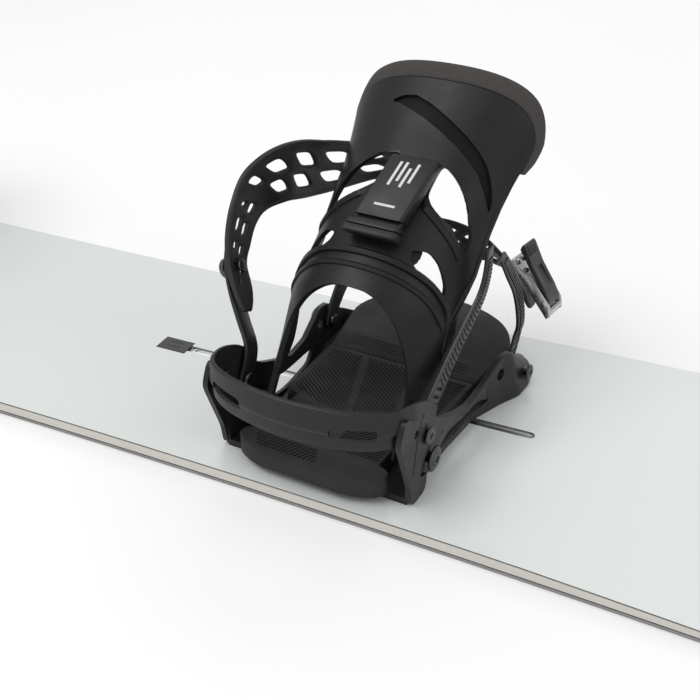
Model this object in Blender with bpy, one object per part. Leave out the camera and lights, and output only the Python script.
"""Snowboard with a channel mounting system and two strap bindings. Metres, +Z up, board along X."""
import math

import bmesh
import bpy
from mathutils import Matrix, Vector

for old in list(bpy.data.objects):
    bpy.data.objects.remove(old, do_unlink=True)

# Driving dimensions, millimetres. The board lies along X, heel edge at -Y, base at z = 0.
HALF_LENGTH = 790
CONTACT = 630            # where the tip and tail start to rise
TIP_RISE = 52
HALF_WAIST = 124.9
SIDECUT_RADIUS = 10000
THICK = 9.6
TIP_THICK = 6.0
STANCE = 285             # binding centre from the board centre
STANCE_TURN = 3.8        # degrees each binding toes outward
CHANNEL_IN, CHANNEL_OUT = -176, 116   # slot ends from the binding centre
FOLD_LEAN = 54.07        # degrees, the highback's line above level as it lies folded forward
PIVOT = (-75.0, 21.0)    # highback pivot, (y, z) in the binding frame
WALL_IN, WALL_OUT = 69.0, 73.5

MM = 0.001


def lerp(a, b, k):
    return a + (b - a) * k


def table(rows, x):
    """Piecewise value, eased between the rows (x, value)."""
    if x <= rows[0][0]:
        return rows[0][1]
    for (x0, y0), (x1, y1) in zip(rows, rows[1:]):
        if x <= x1:
            return lerp(y0, y1, (x - x0) / (x1 - x0))
    return rows[-1][1]


def spline(points, count):
    """Points along a Catmull-Rom curve through the given key points."""
    p = [Vector(q) for q in points]
    p = [p[0] * 2 - p[1]] + p + [p[-1] * 2 - p[-2]]
    out = []
    spans = len(p) - 3
    for i in range(count):
        x = i / (count - 1) * spans
        k = min(int(x), spans - 1)
        t = x - k
        a, b, c, d = p[k:k + 4]
        out.append(0.5 * ((2 * b) + (c - a) * t + (2 * a - 5 * b + 4 * c - d) * t * t + (3 * b - a - 3 * c + d) * t ** 3))
    return out


def mesh_object(name, bm, collection):
    bmesh.ops.recalc_face_normals(bm, faces=bm.faces)
    mesh = bpy.data.meshes.new(name)
    bm.to_mesh(mesh)
    bm.free()
    obj = bpy.data.objects.new(name, mesh)
    collection.objects.link(obj)
    return obj


def loft(name, rings, collection, closed=False):
    """A solid skinned over rings of points (millimetres); the end rings are capped."""
    bm = bmesh.new()
    rows = [[bm.verts.new(Vector(q) * MM) for q in ring] for ring in rings]
    n = len(rows[0])
    pairs = list(zip(rows, rows[1:])) + ([(rows[-1], rows[0])] if closed else [])
    for a, b in pairs:
        for i in range(n):
            j = (i + 1) % n
            bm.faces.new((a[i], a[j], b[j], b[i]))
    if not closed:
        bm.faces.new(rows[0][::-1])
        bm.faces.new(rows[-1])
    return mesh_object(name, bm, collection)


def band_rings(points, across, half, thick, chamfer=0.8):
    """Cross-sections of a flat strap: across, half and thick are given at each point."""
    rings = []
    for i, p in enumerate(points):
        t = (points[min(i + 1, len(points) - 1)] - points[max(i - 1, 0)]).normalized()
        a = Vector(across[i])
        a = (a - t * a.dot(t)).normalized()
        n = t.cross(a)
        h, k = half[i], thick[i] / 2
        c = min(chamfer, h * 0.45, k * 0.7)
        rings.append([p + a * x + n * y for x, y in (
            (h, -k + c), (h, k - c), (h - c, k), (-h + c, k), (-h, k - c), (-h, -k + c), (-h + c, -k), (h - c, -k))])
    return rings


def strap(name, keys, count, collection, chamfer=0.8):
    """keys: (point, across, half width, thickness) along the strap."""
    pts = spline([k[0] for k in keys], count)
    acr = spline([k[1] for k in keys], count)
    hw = [v.x for v in spline([(k[2], 0, 0) for k in keys], count)]
    th = [v.x for v in spline([(k[3], 0, 0) for k in keys], count)]
    return loft(name, band_rings(pts, acr, hw, th, chamfer), collection)


def frame_of(axis):
    """Two unit vectors square to an axis."""
    z = Vector(axis).normalized()
    x = Vector((0, 0, 1)).cross(z)
    if x.length < 1e-3:
        x = Vector((1, 0, 0))
    x.normalize()
    return x, z.cross(x), z


def turned(name, origin, axis, profile, collection, sides=16):
    """A turned piece: profile rows are (distance along the axis, radius)."""
    x, y, z = frame_of(axis)
    o = Vector(origin)
    rings = []
    for d, r in profile:
        rings.append([o + z * d + (x * math.cos(2 * math.pi * i / sides) + y * math.sin(2 * math.pi * i / sides)) * r
                      for i in range(sides)])
    return loft(name, rings, collection)


def prism(name, outline, origin, ex, ey, ez, depth0, depth1, collection):
    """An outline in the plane (ex, ey), extruded along ez between two depths."""
    o, ex, ey, ez = Vector(origin), Vector(ex), Vector(ey), Vector(ez)
    return loft(name, [[o + ex * p[0] + ey * p[1] + ez * d for p in outline] for d in (depth0, depth1)], collection)


def boolean(obj, cutter, operation):
    mod = obj.modifiers.new(operation.lower(), "BOOLEAN")
    mod.operation = operation
    mod.solver = "EXACT"
    mod.object = cutter
    return mod


def bake(obj):
    """Turns the object's modifiers into its mesh."""
    graph = bpy.context.evaluated_depsgraph_get()
    mesh = bpy.data.meshes.new_from_object(obj.evaluated_get(graph))
    bm = bmesh.new()
    bm.from_mesh(mesh)
    bmesh.ops.remove_doubles(bm, verts=bm.verts, dist=0.00002)
    bmesh.ops.dissolve_degenerate(bm, edges=bm.edges, dist=0.00002)
    bm.to_mesh(mesh)
    bm.free()
    obj.modifiers.clear()
    obj.data = mesh
    return obj


def combine(obj, cutters, operation):
    for c in cutters:
        boolean(obj, c, operation)
        bake(obj)
        bpy.data.objects.remove(c, do_unlink=True)
    return obj

root = bpy.context.scene.collection
PARTS = bpy.data.collections.new("snowboard_with_bindings")
CUTTERS = bpy.data.collections.new("cutters")
root.children.link(PARTS)
root.children.link(CUTTERS)


def material(name, colour, roughness, metallic=0.0):
    mat = bpy.data.materials.new(name)
    mat.use_nodes = True
    bsdf = mat.node_tree.nodes["Principled BSDF"]
    bsdf.inputs["Base Color"].default_value = (*colour, 1)
    bsdf.inputs["Roughness"].default_value = roughness
    bsdf.inputs["Metallic"].default_value = metallic
    return mat


BLACK = ((0.018, 0.017, 0.019), 0.5)
RUBBER = ((0.022, 0.019, 0.018), 0.75)
FOAM = ((0.045, 0.040, 0.038), 0.9)
STEEL = ((0.55, 0.56, 0.58), 0.3, 1.0)
DARK_STEEL = ((0.06, 0.06, 0.065), 0.4, 1.0)

# ------------------------------------------------------------------ board


def half_width(x):
    ax = abs(x)
    if ax <= CONTACT:
        return HALF_WAIST + ax * ax / (2 * SIDECUT_RADIUS)
    wide = HALF_WAIST + CONTACT * CONTACT / (2 * SIDECUT_RADIUS)
    k = (ax - CONTACT) / (HALF_LENGTH - CONTACT)
    return wide * max(0.0, 1 - k ** 2.5) ** 0.5


def rise(x):
    k = max(0.0, (abs(x) - CONTACT) / (HALF_LENGTH - CONTACT))
    return TIP_RISE * k * k


def thickness(x):
    return table([(0, THICK), (420, THICK), (CONTACT, TIP_THICK), (HALF_LENGTH, TIP_THICK)], abs(x))


def stations(inset):
    """Lengthwise stations, closer together round the tip."""
    tip = HALF_LENGTH - inset
    xs = [0, 150, 300, 420, 490, 560, CONTACT]
    xs += [lerp(CONTACT, tip, math.sin(math.pi / 2 * k / 18)) for k in range(1, 19)]
    return [-x for x in xs[:0:-1]] + xs


def inner_edge(inset):
    """The outline moved inwards, square to itself, as rows (x, half width)."""
    xs = [HALF_LENGTH * math.sin(math.pi / 2 * k / 240) for k in range(-240, 241)]
    rows = []
    for i, x in enumerate(xs[1:-1], 1):
        t = Vector((xs[i + 1] - xs[i - 1], half_width(xs[i + 1]) - half_width(xs[i - 1]))).normalized()
        rows.append((x + t.y * inset, half_width(x) - t.x * inset))
    return sorted(rows)


def slab(name, low, high, inset):
    """A layer of the board between two heights (fractions of a point's thickness are given by functions of x)."""
    rings = []
    rows = inner_edge(inset)
    for x in stations(inset + 1.0):
        w = max(table(rows, x), 3.0)
        z = rise(x)
        rings.append([(x, -w, z + low(x)), (x, w, z + low(x)), (x, w, z + high(x)), (x, -w, z + high(x))])
    return loft(name, rings, PARTS)


base = slab("base", lambda x: 0.0, lambda x: 1.9, 2.6)
core = slab("core", lambda x: 2.35, lambda x: thickness(x) - 1.1, 0.3)
topsheet = slab("topsheet", lambda x: thickness(x) - 0.8, lambda x: thickness(x), 0.9)

outline = [(x, half_width(x)) for x in stations(0.05)]
outline = [(x, w) for x, w in outline] + [(x, -w) for x, w in outline[::-1]]
outline = [q for i, q in enumerate(outline) if math.dist(q, outline[i - 1]) > 0.5]
edge_rings = []
for i, (x, y) in enumerate(outline):
    (xa, ya), (xb, yb) = outline[i - 1], outline[(i + 1) % len(outline)]
    t = Vector((xb - xa, yb - ya, 0)).normalized()
    n = Vector((t.y, -t.x, 0))
    if n.x * x + n.y * y > 0:
        n = -n
    p, q = Vector((x, y, 0)), Vector((x, y, 0)) + n * 2.1
    p.z, q.z = rise(p.x), rise(q.x)
    edge_rings.append([p, q, q + Vector((0, 0, 1.9)), p + Vector((0, 0, 1.9))])
steel_edge = loft("steel_edge", edge_rings, PARTS, closed=True)


def stadium(x0, x1, r, steps=6):
    pts = [(x1 - r + r * math.sin(a), -r * math.cos(a)) for a in [math.pi * k / steps for k in range(steps + 1)]]
    return pts + [(x0 + r - r * math.sin(a), r * math.cos(a)) for a in [math.pi * k / steps for k in range(steps + 1)]]


channels, plugs = [], []
for side, tag in ((1, "right"), (-1, "left")):
    x0, x1 = STANCE + CHANNEL_IN, STANCE + CHANNEL_OUT
    px0, px1 = x0 - 20, x0 + 6.4
    flip = lambda pts: [(side * x, y) for x, y in pts]
    axes = ((0, 0, 0), (1, 0, 0), (0, 1, 0), (0, 0, 1))
    slot = prism("slot_cut", flip(stadium(x0 + 1, x1, 3.9)), *axes, 5, 15, CUTTERS)
    combine(topsheet, [slot], "DIFFERENCE")
    pocket = prism("pocket_cut", flip(stadium(x0 + 6, x1 + 4.2, 8.0)), *axes, 1, 15, CUTTERS)
    rect = [(px0, -8.7), (px1, -8.7), (px1, 8.7), (px0, 8.7)]
    combine(core, [pocket, prism("plug_cut", flip(rect), *axes, THICK - 4, 15, CUTTERS)], "DIFFERENCE")
    combine(topsheet, [prism("plug_cut", flip(rect), *axes, THICK - 4, 15, CUTTERS)], "DIFFERENCE")
    body = prism("channel_" + tag, flip(stadium(x0 + 6.8, x1 + 3.8, 7.6)), *axes, 2.3, 8.6, PARTS)
    tee = prism("tee_cut", flip(stadium(x0 + 9.5, x1 + 1.2, 6.1)), *axes, 3.3, 6.6, CUTTERS)
    neck = prism("neck_cut", flip(stadium(x0 + 11.5, x1 - 0.6, 3.6)), *axes, 6, 12, CUTTERS)
    channels.append(combine(body, [tee, neck], "DIFFERENCE"))
    top = [(px0 + 0.3, -8.3), (px1 - 0.3, -8.3), (px1 - 0.3, 8.3), (px0 + 0.3, 8.3)]
    plug = prism("plug_" + tag, flip(top), *axes, THICK - 3.4, THICK + 0.3, PARTS)
    plugs.append(plug)

# ------------------------------------------------------------------ one binding, in its own frame
# x to the buckle side, y to the toe, z up from the board's top face, millimetres.


def base_section(v):
    bottom = table([(-104, 69), (-75, 67), (-36, 66.5), (4, 69), (33, 79), (50, 87), (68, 88), (86, 84), (97, 76)], v)
    top = table([(-104, WALL_OUT), (-20, WALL_OUT), (5, 74.5), (33, 78), (50, 80), (68, 80), (86, 77), (97, 72)], v)
    high = table([(-104, 26), (-98, 58), (-90, 66), (-82, 62), (-72, 52), (-56, 42), (-38, 34), (-17, 27), (5, 29),
                  (20, 35), (34, 41), (48, 38), (62, 27), (75, 20), (88, 12), (97, 7)], v)
    inner = top - (WALL_OUT - WALL_IN)
    floor = min(inner, bottom) - 1.5
    return [(bottom, v, 0.3), (bottom + 0.4, v, 3.0), (top, v, max(high - 1.0, 5)), (top - 1, v, high), (inner, v, high),
            (floor, v, 5.3), (-floor, v, 5.3), (-inner, v, high), (-top + 1, v, high), (-top, v, max(high - 1.0, 5)),
            (-bottom - 0.4, v, 3.0), (-bottom, v, 0.3)]


HOOP = [((71.2, -72, 50), 9), ((71.2, -90, 62), 11), ((71.0, -106, 67), 12.5), ((66, -121, 68), 13), ((50, -133, 69), 14),
        ((26, -140, 69.5), 14.5), ((0, -142.5, 69.5), 14.5)]
hoop_keys = [(p, (0, 0, 1), h, 4.1) for p, h in HOOP]
hoop_keys += [((-p[0], p[1], p[2]), (0, 0, 1), h, 4.1) for p, h in HOOP[-2::-1]]

LEG = [(-104, 0.3), (-82, 0.3), (-82, 50), (-100, 66), (-116, 76), (-124, 60), (-116, 40), (-107, 18)]
SIDE_CUT = [(-58, 11), (-44, 22), (-20, 19), (6, 18), (20, 12), (4, 8), (-30, 7)]


def make_baseplate(coll):
    vs = [-104, -98, -90, -82, -72, -56, -38, -17, 5, 20, 34, 48, 62, 75, 88, 97]
    obj = loft("baseplate", [base_section(v) for v in vs], coll)
    hoop = strap("hoop", hoop_keys, 19, CUTTERS, 1.2)
    legs = [prism("leg", LEG, (s * 71.25, 0, 0), (0, 1, 0), (0, 0, 1), (1, 0, 0), -1.95, 1.95, CUTTERS) for s in (1, -1)]
    combine(obj, [hoop] + legs, "UNION")
    cuts = [turned("hole", (0, 0, -2), (0, 0, 1), [(0, 38), (12, 38)], CUTTERS, 24),
            prism("side", SIDE_CUT, (0, 0, 0), (0, 1, 0), (0, 0, 1), (1, 0, 0), 60, 100, CUTTERS),
            prism("side", SIDE_CUT, (0, 0, 0), (0, 1, 0), (0, 0, 1), (-1, 0, 0), 60, 100, CUTTERS)]
    for s in (1, -1):
        d = Vector((s * 24, 7.5, 0)).normalized()
        e = Vector((d.y, -d.x, 0))
        cuts.append(prism("slot", [(-15, -4), (13, -4), (15, -2), (15, 5), (-15, 5)], (s * 46, -134.5, 67), d, (0, 0, 1), e,
                          -9, 9, CUTTERS))
    for y, z, r in ((PIVOT[0], PIVOT[1], 4.3), (LAD_A[1], LAD_A[2], 3.1), (TOE_L[1], TOE_L[2], 3.1), (32, 27, 4.5)):
        cuts.append(turned("hole", (50, y, z), (1, 0, 0), [(0, r), (50, r)], CUTTERS, 10))
    for y, z, r in ((PIVOT[0], PIVOT[1], 4.3), (TONGUE[1], TONGUE[2], 3.1), (TOE_S[1], TOE_S[2], 3.1)):
        cuts.append(turned("hole", (-50, y, z), (-1, 0, 0), [(0, r), (50, r)], CUTTERS, 10))
    return combine(obj, cuts, "DIFFERENCE")


# Anchor bolts: (x of the strap's centre, y, z)
LAD_A = (65.9, -84, 45)
TONGUE = (-65.9, -84, 45)
TOE_L = (71.4, 66, 13)
TOE_S = (-71.7, 46, 25)

# Highback surface: t across (-1..1), s along from the pivot, n outward (to the rear).
A = Vector((0, math.cos(math.radians(FOLD_LEAN)), math.sin(math.radians(FOLD_LEAN))))
N = Vector((0, -A.z, A.y))
P0 = Vector((0, PIVOT[0], PIVOT[1]))
HB_W = [(-12, 60.5), (95, 60.5), (125, 61.5), (155, 61.5), (185, 63), (205, 67), (225, 71), (265, 71)]
HB_C = [(-12, 42), (0, 42), (60, 46), (92, 45), (115, 39.5), (125, 35), (190, 10), (230, 7), (265, 3)]
HB_E = [(-12, -11), (0, -11), (50, -8), (87, -1), (110, -13), (126, -19), (180, -19), (220, -25), (265, -25)]
TURN = math.radians(75)
SHELL = 3.5
ARC = 82.0               # half the shell's width measured along its surface


def cant(s):
    """The highback's upper part leans a little to the buckle side, as binding highbacks do."""
    return table([(130, 0), (150, 1), (190, 3.5), (250, 7.5)], s)


def hb(t, s, off=0.0):
    w, c, e = table(HB_W, s), table(HB_C, s), table(HB_E, s)
    d = (c - e) / (1 - math.cos(TURN))
    a = TURN * t
    u, n = w * math.sin(a) / math.sin(TURN), c - d * (1 - math.cos(a))
    if off:
        tu, tn = w * math.cos(a) / math.sin(TURN), -d * math.sin(a)
        k = math.hypot(tu, tn)
        u, n = u - tn / k * off, n + tu / k * off
    return P0 + A * s + N * n + Vector((u + cant(s), 0, 0))


def hb_top(t):
    return 190 + 58 * max(0.0, 1 - abs(t) ** 2.857) ** 0.35


WINDOW = [(0.26, 190), (0.40, 184), (0.55, 174), (0.68, 162), (0.80, 147), (0.80, 134), (0.70, 141), (0.58, 150),
          (0.46, 154), (0.34, 160), (0.27, 167)]
LOWER = [(0.36, 127), (0.50, 129), (0.62, 123), (0.74, 112), (0.78, 104), (0.66, 105), (0.52, 112), (0.38, 120)]
ARCH = [(0, 92), (0.16, 91), (0.30, 86), (0.42, 79), (0.52, 70), (0.62, 57), (0.69, 42), (0.73, 25), (0.75, -30)]


def surface_cut(name, outline):
    rings = [[hb(t, s, d) for t, s in outline] for d in (-9, 7)]
    return loft(name, rings, CUTTERS)


def make_highback(coll, cols=16, rows=9):
    def ring(t):
        s0, s1 = -9, hb_top(t)
        ss = [lerp(s0, s1, k / rows) for k in range(rows + 1)]
        return [hb(t, s) for s in ss] + [hb(t, s, -SHELL) for s in ss[::-1]]
    ts = [-1 + 2 * k / cols for k in range(cols + 1)]
    obj = loft("highback", [ring(t) for t in ts], coll)
    outline = [(-t, s) for t, s in ARCH[:0:-1]] + ARCH
    rings = []
    for t, top in outline:
        ss = [-30 + (max(top, -29) + 30) * k / 6 for k in range(7)]
        rings.append([hb(t, s, 7) for s in ss] + [hb(t, s, -9) for s in ss[::-1]])
    combine(obj, [loft("arch", rings, CUTTERS)], "DIFFERENCE")
    bosses = [turned("boss", (s * 50.6, PIVOT[0], PIVOT[1]), (s, 0, 0), [(0, 9.5), (10.4, 9.5)], CUTTERS, 14) for s in (1, -1)]
    combine(obj, bosses, "UNION")
    cuts = []
    for k in (1, -1):
        cuts.append(surface_cut("window", [(k * t, s) for t, s in WINDOW][::k]))
        cuts.append(surface_cut("lower", [(k * t, s) for t, s in LOWER][::k]))
        cuts.append(turned("bore", (k * 40, PIVOT[0], PIVOT[1]), (k, 0, 0), [(0, 4.3), (40, 4.3)], CUTTERS, 12))
    return combine(obj, cuts, "DIFFERENCE")


def rim(q):
    """The foam's centre line round the shell's top, q from 0 (left) to 1 (right): (t, s, outward in the surface)."""
    th = math.pi * (1 - q)
    c, s = math.cos(th), max(0.0, math.sin(th))
    def at(th):
        c, s = math.cos(th), max(0.0, math.sin(th))
        return Vector((math.copysign(abs(c) ** 0.7, c) * ARC, 190 + 58 * s ** 0.7))
    p = at(th)
    d = at(min(th + 0.02, math.pi)) - at(max(th - 0.02, 0))
    n = Vector((d.y, -d.x)).normalized()
    if n.dot(p - Vector((0, 200))) < 0:
        n = -n
    return p, n


def make_foam(coll, count=23):
    rings = []
    for i in range(count):
        p, n = rim(lerp(0.03, 0.97, i / (count - 1)))
        ring = []
        for out, off in ((0.6, -0.5), (12.0, 0.0), (13.4, -2.0), (13.4, -6.0), (12.0, -8.0), (-8.0, -8.0), (-9.0, -5.4), (-1.0, -4.7), (0.4, -4.0)):
            q = p + n * out
            ring.append(hb(q.x / ARC, q.y, off))
        rings.append(ring)
    return loft("highback_foam", rings, coll)


def make_lean_block(coll):
    def row(s, u, lo, hi):
        c, d = table(HB_C, s), table([(127, 4), (142, 5), (188.5, 11)], s)
        return [P0 + A * s + N * (c + n) + Vector((x + d, 0, 0)) for x, n in ((-u, lo), (u, lo), (u, hi - 1.5), (u - 1.5, hi), (-u + 1.5, hi), (-u, hi - 1.5))]
    rows = [row(127, 18.5, 1.2, 12), row(128.5, 19.5, 1.2, 15), (row(136, 19.5, 1.2, 15)), row(137.5, 17, 1.2, 10), row(140.5, 17, 1.2, 10),
            row(141.5, 17.8, 1.2, 13), row(187, 17.2, 1.2, 12), row(188.5, 16, 1.2, 10)]
    return loft("lean_block", rows, coll)


def dial_place():
    p = hb(0.30, 127, -SHELL - 4.8)
    q = hb(0.30, 127, -SHELL - 5.8)
    return p, (q - p).normalized()


def make_lean_dial(coll):
    p, d = dial_place()
    return turned("lean_dial", p, d, [(0, 12.5), (1, 13), (6.5, 13), (7.5, 12)], coll, 18)


def bed(name, vs, half, low, high, coll):
    rings = []
    for v in vs:
        h, z0, z1 = half(v), low(v), high(v)
        rings.append([(h, v, z0), (h, v, z1 - 1.2), (h - 1.2, v, z1), (-h + 1.2, v, z1), (-h, v, z1 - 1.2), (-h, v, z0)])
    return loft(name, rings, coll)


def make_heel_pad(coll):
    half = lambda v: table([(-121, 30), (-118, 42), (-113, 52), (-108, 56), (-103, 56), (-98, 46), (-50, 46), (-43, 58), (26, 61)], v)
    return bed("heel_pad", [-121, -118, -113, -108, -103, -98, -50, -43, -10, 26], half, lambda v: 5.7,
               lambda v: table([(-121, 17), (-112, 20), (-60, 20), (-10, 17.5), (26, 16.5)], v), coll)


def make_toe_pad(coll):
    half = lambda v: table([(26.6, 61), (60, 65), (78, 66.5), (90, 63), (100, 56), (108, 47), (114, 36), (118, 25), (120.5, 12)], v)
    low = lambda v: table([(26.6, 5.7), (97, 5.7), (100, 9), (120.5, 17)], v)
    return bed("toe_pad", [26.6, 45, 60, 78, 90, 98, 104, 109, 114, 118, 120.5], half, low,
               lambda v: table([(26.6, 16.5), (60, 20), (100, 25), (120.5, 26)], v), coll)


LADDER_A = [((65.9, -91, 41), 6.5), ((65.9, -84, 45), 7.8), ((65.9, -62, 56), 7.8), ((66.2, -38, 71), 7.5), ((67.6, -16, 87), 7),
            ((70, 1, 103), 6.5), ((71, 8, 118), 6), ((72, 7, 139), 4.5)]
LADDER_B = [((71.4, 64, 7.4), 5.0), ((71.4, 66, 13), 6.6), ((72.8, 75, 35), 6.8), ((75, 74, 52), 6.5), ((75.5, 60, 82), 6), ((74, 43, 106), 5.6), ((73, 30, 122), 4.2)]
TONGUE_PATH = [((-65.9, -90, 39), 6.0), ((-65.9, -84, 45), 7.5), ((-65.9, -78, 54), 8), ((-68.2, -72, 66), 8), ((-78, -65, 79), 8), ((-88, -58, 94), 8),
               ((-95.5, -51, 109), 8), ((-99, -45, 121), 6.5)]
ANKLE_PAD = [((-74.5, -64.5, 86), (0, 1, 0), 5, 4.2), ((-81.8, -58, 97.5), (0, 1, 0), 9, 4.8), ((-91, -50.5, 112), (0, 0.95, -0.2), 11, 4.8),
             ((-95, -42, 125), (0.1, 0.85, -0.5), 14, 4.8), ((-98, -28, 141), (0.1, 0.7, -0.75), 17, 4.8),
             ((-98, -10, 152), (0.1, 0.4, -0.9), 20, 4.8), ((-89, 15, 157), (0, -0.05, -1), 22, 4.8), ((-81, 48, 150), (0, 0.3, -0.95), 22, 4.8),
             ((-62, 89.5, 143.5), (0, 0.45, -0.88), 18.5, 4.8), ((-33, 95, 153), (0, 0.55, -0.83), 21, 4.8), ((-10, 96, 162), (0, 0.55, -0.83), 18, 4.8),
             ((10, 100, 163), (0, 0.55, -0.83), 14, 4.2), ((24, 101, 162), (0, 0.55, -0.83), 11, 3.6)]
TOE_STRAP = [((-71.7, 41, 20), (0, 1, -1), 5.5, 3.2), ((-71.7, 46, 25), (0, 1, -1), 7, 3.2), ((-71.4, 54, 38), (0, 1, -0.6), 8, 3.4), ((-68, 67, 56), (0, 0.9, -0.6), 10, 4),
             ((-55, 84, 76), (0, 0.8, -0.7), 16, 5), ((-33, 95, 88), (0, 0.6, -0.8), 19, 5), ((-10, 101, 92), (0, 0.55, -0.84), 20, 5), ((12, 104, 90), (0, 0.5, -0.86), 20, 5),
             ((36, 105, 84), (0, 0.6, -0.8), 18, 5), ((57, 101, 76), (0, 0.8, -0.6), 15, 5), ((70, 99, 63), (0, 1, -0.2), 12, 5), ((75, 98, 50), (0, 1, 0), 5, 4)]


def ladder(name, keys, coll, count):
    full = []
    for i, (p, h) in enumerate(keys):
        a, b = Vector(keys[max(i - 1, 0)][0]), Vector(keys[min(i + 1, len(keys) - 1)][0])
        t = b - a
        full.append((p, (0, t.z, -t.y), h, 2.8))
    return strap(name, full, count, coll, 0.5)


def anchor_bolt(name, place, head_from, coll):
    """A bolt through the wall and a strap end: place is the strap's centre, heads stand clear of both faces."""
    s = 1 if place[0] > 0 else -1
    x = abs(place[0])
    prof = [(x - 4.3, 5.0), (x - 2.0, 5.0), (x - 2.0, 2.7), (head_from, 2.7), (head_from, 6.2), (head_from + 2.4, 5.2)]
    return turned(name, (0, place[1], place[2]), (s, 0, 0), prof, coll, 12)


def pin_hole(obj, origin, axis, r, span):
    o = Vector(origin) - Vector(axis) * span
    return combine(obj, [turned("pin_hole", o, axis, [(0, r), (2 * span, r)], CUTTERS, 10)], "DIFFERENCE")


KNOB_AT, KNOB_AXIS = Vector((-95.5, -51, 109)), Vector((-0.92, -0.13, -0.35)).normalized()

BUCKLES = {
    "ankle": (Vector((8, 106.5, 167.0)), Vector((0.98, 0.08, -0.12)), Vector((0, 0.83, 0.55)), 1.0),
    "toe": (Vector((68.8, 99, 80.5)), Vector((0.66, -0.1, -0.74)), Vector((0.74, 0, 0.66)), 0.92),
}


def buckle_frame(which):
    o, e1, e3, k = BUCKLES[which]
    e1 = e1.normalized()
    e3 = (e3 - e1 * e3.dot(e1)).normalized()
    return o, e1, e3.cross(e1), e3, k


def make_buckle(which, coll):
    o, e1, e2, e3, k = buckle_frame(which)
    def at(x, y, z):
        return o + (e1 * x + e2 * y + e3 * z) * k
    U = [(-13, -3), (13, -3), (13, 6), (11.2, 6), (11.2, -1.2), (-11.2, -1.2), (-11.2, 6), (-13, 6)]
    low = [(-13, -3), (13, -3), (13, 1), (11.2, 1), (11.2, -1.2), (-11.2, -1.2), (-11.2, 1), (-13, 1)]
    rings = [[at(x, y, z) for y, z in sec] for x, sec in ((-14, low), (-6, low), (4, U), (38, U), (42, low))]
    obj = loft(which + "_buckle", rings, coll)
    pin = turned("pin", at(30, -12.5, 3.0), e2, [(0, 2.0 * k), (25 * k, 2.0 * k)], CUTTERS, 12)
    return combine(obj, [pin], "UNION")


def make_lever(which, coll):
    o, e1, e2, e3, k = buckle_frame(which)
    def at(x, y, z):
        return o + (e1 * x + e2 * y + e3 * z) * k
    prof = [(-17, 9.4), (-19, 13.4), (-16, 14.2), (0, 10.6), (20, 8.8), (30, 7.0), (33, 5.6), (34, 3.0), (33, 0.5), (30, -0.8), (27, 0.4), (25, 3.2), (20, 5.2), (0, 7.4)]
    rings = [[at(x, y, z) for x, z in prof] for y in (-10.4, 10.4)]
    obj = loft(which + "_lever", rings, coll)
    return pin_hole(obj, at(30, 0, 3.0), e2, 2.35 * k, 14)


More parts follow.
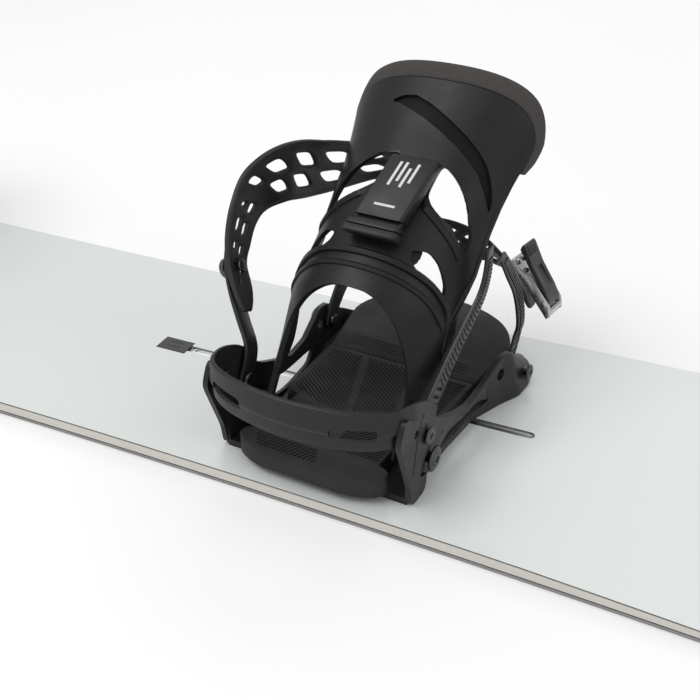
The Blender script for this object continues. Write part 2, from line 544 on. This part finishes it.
def make_binding(coll):
    made = {}
    def keep(obj, colour, origin=None, flat=False):
        made[obj.name] = (obj, colour, origin, flat)
        return obj
    keep(make_baseplate(coll), BLACK)
    disc = turned("disc", (0, 0, 0.4), (0, 0, 1), [(0, 37.2), (4.2, 37.2), (4.7, 36.7)], coll, 24)
    turn = math.radians(STANCE_TURN)
    for x in (-26, 26):
        disc = pin_hole(disc, (x * math.cos(turn), x * math.sin(turn), 3), (0, 0, 1), 6.7, 8)
    keep(disc, BLACK)
    for x, tag in ((-26, "a"), (26, "b")):
        keep(turned("channel_bolt_" + tag, (x * math.cos(turn), x * math.sin(turn), 0), (0, 0, 1), [(-6.0, 5.4), (-3.4, 5.4), (-3.4, 2.9), (1.0, 2.9), (1.0, 6.2), (4.6, 6.2)], coll, 12), STEEL)
    keep(make_heel_pad(coll), RUBBER)
    keep(make_toe_pad(coll), RUBBER)
    keep(make_highback(coll), BLACK, P0)
    keep(make_foam(coll), FOAM, P0)
    keep(make_lean_block(coll), BLACK, P0)
    keep(make_lean_dial(coll), BLACK, dial_place()[0])
    for s, tag in ((1, "a"), (-1, "b")):
        prof = [(47.8, 6.6), (50.1, 6.6), (50.1, 3.9), (73.9, 3.9), (73.9, 8.6), (76.2, 8.4), (77.2, 7.0)]
        keep(turned("pivot_bolt_" + tag, (0, PIVOT[0], PIVOT[1]), (s, 0, 0), prof, coll, 14), DARK_STEEL)
    tongue = ladder("ankle_tongue", TONGUE_PATH, coll, 12)
    pin_hole(tongue, TONGUE, (1, 0, 0), 3.1, 5)
    pin_hole(tongue, KNOB_AT, KNOB_AXIS, 3.1, 6)
    keep(tongue, BLACK, TONGUE)
    pad = strap("ankle_strap", ANKLE_PAD, 22, coll, 1.2)
    pin_hole(pad, KNOB_AT, KNOB_AXIS, 3.1, 12)
    keep(pad, BLACK, TONGUE)
    prof = [(-10.2, 4.6), (-8.5, 4.6), (-8.5, 2.7), (2.2, 2.7), (2.2, 7.2), (5.0, 7.0), (6.4, 5.6)]
    keep(turned("ankle_knob", KNOB_AT, KNOB_AXIS, prof, coll, 12), DARK_STEEL, TONGUE)
    lad = ladder("ankle_ladder", LADDER_A, coll, 13)
    keep(pin_hole(lad, LAD_A, (1, 0, 0), 3.1, 5), BLACK, LAD_A)
    keep(anchor_bolt("ankle_ladder_bolt", LAD_A, WALL_OUT + 0.4, coll), DARK_STEEL)
    keep(anchor_bolt("ankle_strap_bolt", TONGUE, WALL_OUT + 0.4, coll), DARK_STEEL)
    toe = strap("toe_strap", TOE_STRAP, 20, coll, 1.2)
    keep(pin_hole(toe, TOE_S, (1, 0, 0), 3.1, 5), BLACK, TOE_S)
    lad = ladder("toe_ladder", LADDER_B, coll, 12)
    keep(pin_hole(lad, TOE_L, (1, 0, 0), 3.1, 5), BLACK, TOE_L)
    keep(anchor_bolt("toe_ladder_bolt", TOE_L, 87.4, coll), DARK_STEEL)
    keep(anchor_bolt("toe_strap_bolt", TOE_S, 84.2, coll), DARK_STEEL)
    for which, origin in (("ankle", TONGUE), ("toe", TOE_S)):
        o, e1, e2, e3, k = buckle_frame(which)
        keep(make_buckle(which, coll), STEEL, origin)
        keep(make_lever(which, coll), DARK_STEEL, o + (e1 * 30 + e3 * 3) * k)
    return made


binding = make_binding(PARTS)
TO_BOARD = Matrix.Translation((STANCE * MM, 0, THICK * MM)) @ Matrix.Rotation(-math.radians(STANCE_TURN), 4, "Z")
MIRROR = Matrix.Diagonal((-1, 1, 1, 1))

for name, (obj, colour, origin, flat) in binding.items():
    obj.data.transform(TO_BOARD)
    twin = obj.copy()
    twin.data = obj.data.copy()
    twin.name = "left_" + name
    PARTS.objects.link(twin)
    twin.data.transform(MIRROR)
    twin.data.flip_normals()
    obj.name = "right_" + name
    for one, k in ((obj, 1), (twin, -1)):
        if origin is not None:
            p = TO_BOARD @ (Vector(origin) * MM)
            p.x *= k
            one.data.transform(Matrix.Translation(-p))
            one.location = p
        one.data.materials.clear()
        one.data.materials.append(material(one.name, *colour))

for obj, colour in [(base, ((0.02, 0.02, 0.022), 0.35)), (core, ((0.62, 0.60, 0.54), 0.6)), (topsheet, ((0.62, 0.66, 0.64), 0.35)),
                    (steel_edge, ((0.5, 0.5, 0.5), 0.3, 1.0))]:
    obj.data.materials.append(material(obj.name, *colour))
for obj in channels:
    obj.data.materials.append(material(obj.name, (0.45, 0.45, 0.46), 0.35, 1.0))
for obj in plugs:
    obj.data.materials.append(material(obj.name, (0.05, 0.05, 0.05), 0.5))

CUTTERS.hide_render = True
for obj in PARTS.objects:
    if obj.type == "MESH" and ("bolt" in obj.name or "dial" in obj.name or "knob" in obj.name):
        for poly in obj.data.polygons:
            poly.use_smooth = len(poly.vertices) == 4
bpy.context.view_layer.update()
